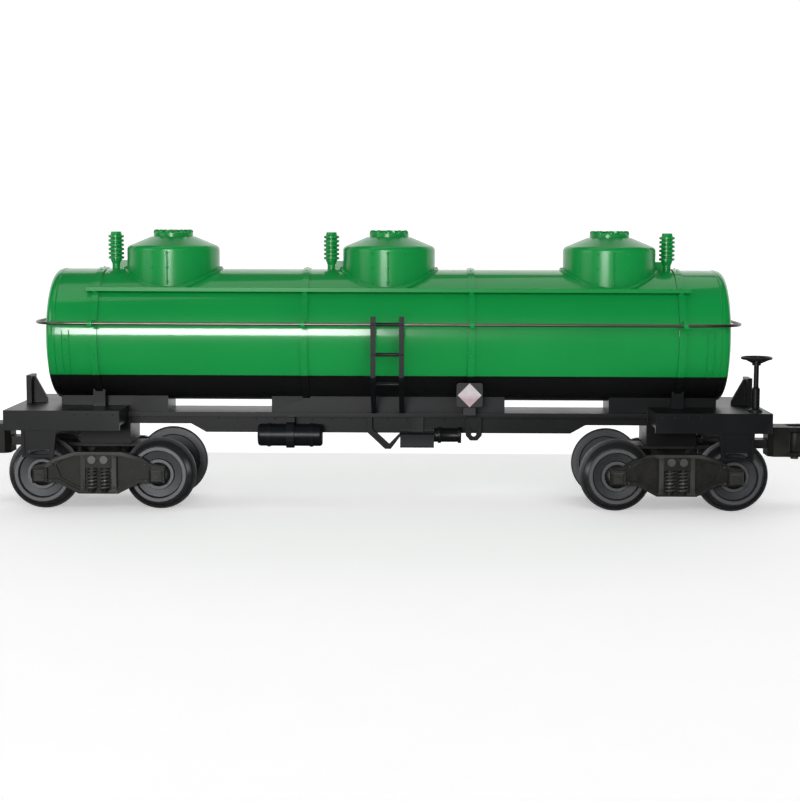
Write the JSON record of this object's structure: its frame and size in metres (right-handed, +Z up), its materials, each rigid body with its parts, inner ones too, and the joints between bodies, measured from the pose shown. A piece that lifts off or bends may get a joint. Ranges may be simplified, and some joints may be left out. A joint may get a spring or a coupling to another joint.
{
  "type": "model tank wagon",
  "caption": "Toy-scale railway tank wagon: domed cylindrical tank on a frame with handrail, ladders, swivelling trucks, spinning wheels and opening knuckle couplers.",
  "frame": {"origin": "midway between the two coupler faces, on the centre plane, at the lowest point of the wheel flanges", "axes": "+X along the track towards the hand brake end, +Y across the track, +Z up"},
  "size_m": [0.27, 0.0542, 0.0879],
  "materials": {
    "tank_paint": "gloss green over gloss black",
    "green_paint": "gloss green",
    "rail_wire": "drawn wire, dull",
    "black_plastic": "semi-gloss moulding",
    "placard_paint": "printed board",
    "truck_casting": "blackened casting",
    "dark_steel": "blackened steel",
    "coupler_casting": "blackened casting",
    "wheel_steel": "sintered, worn treads",
    "axle_steel": "turned"
  },
  "bodies": {
    "car_body": {"air_reservoir": "black_plastic", "brake_cylinder": "black_plastic", "brake_hanger": "black_plastic", "brake_lever": "black_plastic", "brake_stand": "black_plastic", "dome_left": "green_paint", "dome_middle": "green_paint", "dome_right": "green_paint", "frame": "black_plastic", "handrail_left": "rail_wire", "handrail_right": "rail_wire", "handrail_stanchions": "green_paint", "hatch_bolts": "green_paint", "hatch_cover_left": "green_paint", "hatch_cover_middle": "green_paint", "hatch_cover_right": "green_paint", "kingpin_left": "dark_steel", "kingpin_right": "dark_steel", "ladder_far": "black_plastic", "ladder_near": "black_plastic", "placard_far": "placard_paint", "placard_near": "placard_paint", "safety_valve_left": "green_paint", "safety_valve_middle": "green_paint", "safety_valve_right": "green_paint", "tank_end_left": "tank_paint", "tank_end_right": "tank_paint", "tank_screws": "dark_steel", "tank_shell": "tank_paint"},
    "brake_wheel": {"brake_wheel": "black_plastic"},
    "truck_left": {"side_frame_left_a": "truck_casting", "side_frame_left_b": "truck_casting", "truck_bolster_left": "truck_casting", "truck_rivets_left": "dark_steel", "draw_plate_left": "coupler_casting", "coupler_head_left": "coupler_casting", "knuckle_pin_left": "dark_steel"},
    "knuckle_left": {"knuckle_left": "coupler_casting"},
    "plunger_left": {"uncoupling_plunger_left": "dark_steel"},
    "wheelset_left_inner": {"axle_left_inner": "axle_steel", "wheels_left_inner": "wheel_steel"},
    "wheelset_left_outer": {"axle_left_outer": "axle_steel", "wheels_left_outer": "wheel_steel"},
    "truck_right": {"side_frame_right_a": "truck_casting", "side_frame_right_b": "truck_casting", "truck_bolster_right": "truck_casting", "truck_rivets_right": "dark_steel", "draw_plate_right": "coupler_casting", "coupler_head_right": "coupler_casting", "knuckle_pin_right": "dark_steel"},
    "knuckle_right": {"knuckle_right": "coupler_casting"},
    "plunger_right": {"uncoupling_plunger_right": "dark_steel"},
    "wheelset_right_inner": {"axle_right_inner": "axle_steel", "wheels_right_inner": "wheel_steel"},
    "wheelset_right_outer": {"axle_right_outer": "axle_steel", "wheels_right_outer": "wheel_steel"}
  },
  "joints": [
    {"name": "truck_left_swivel", "type": "hinge", "parent": "car_body", "child": "truck_left", "pos_m": [-0.09, 0, 0.0193], "axis": [0, 0, 1], "range_deg": [-15, 15]},
    {"name": "wheelset_left_inner_spin", "type": "hinge", "parent": "truck_left", "child": "wheelset_left_inner", "pos_m": [-0.07175, 0, 0.0114], "axis": [0, 1, 0], "continuous": true},
    {"name": "wheelset_left_outer_spin", "type": "hinge", "parent": "truck_left", "child": "wheelset_left_outer", "pos_m": [-0.10825, 0, 0.0114], "axis": [0, 1, 0], "continuous": true},
    {"name": "knuckle_left_open", "type": "hinge", "parent": "truck_left", "child": "knuckle_left", "pos_m": [-0.1302, 0.0039, 0.02085], "axis": [0, 0, -1], "range_deg": [0, 45]},
    {"name": "plunger_left_drop", "type": "slide", "parent": "truck_left", "child": "plunger_left", "axis": [0, 0, -1], "range_m": [0, 0.0015]},
    {"name": "truck_right_swivel", "type": "hinge", "parent": "car_body", "child": "truck_right", "pos_m": [0.09, 0, 0.0193], "axis": [0, 0, 1], "range_deg": [-15, 15]},
    {"name": "wheelset_right_inner_spin", "type": "hinge", "parent": "truck_right", "child": "wheelset_right_inner", "pos_m": [0.07175, 0, 0.0114], "axis": [0, 1, 0], "continuous": true},
    {"name": "wheelset_right_outer_spin", "type": "hinge", "parent": "truck_right", "child": "wheelset_right_outer", "pos_m": [0.10825, 0, 0.0114], "axis": [0, 1, 0], "continuous": true},
    {"name": "knuckle_right_open", "type": "hinge", "parent": "truck_right", "child": "knuckle_right", "pos_m": [0.1302, -0.0039, 0.02085], "axis": [0, 0, -1], "range_deg": [0, 45]},
    {"name": "plunger_right_drop", "type": "slide", "parent": "truck_right", "child": "plunger_right", "axis": [0, 0, -1], "range_m": [0, 0.0015]},
    {"name": "brake_wheel_spin", "type": "hinge", "parent": "car_body", "child": "brake_wheel", "pos_m": [0.114, -0.021, 0.0475], "axis": [0, 0, 1], "continuous": true}
  ],
  "couplings": [
    {"joint": "knuckle_left_open", "follows": "plunger_left_drop", "rad_per_m": 523.08},
    {"joint": "knuckle_right_open", "follows": "plunger_right_drop", "rad_per_m": 523.08}
  ]
}
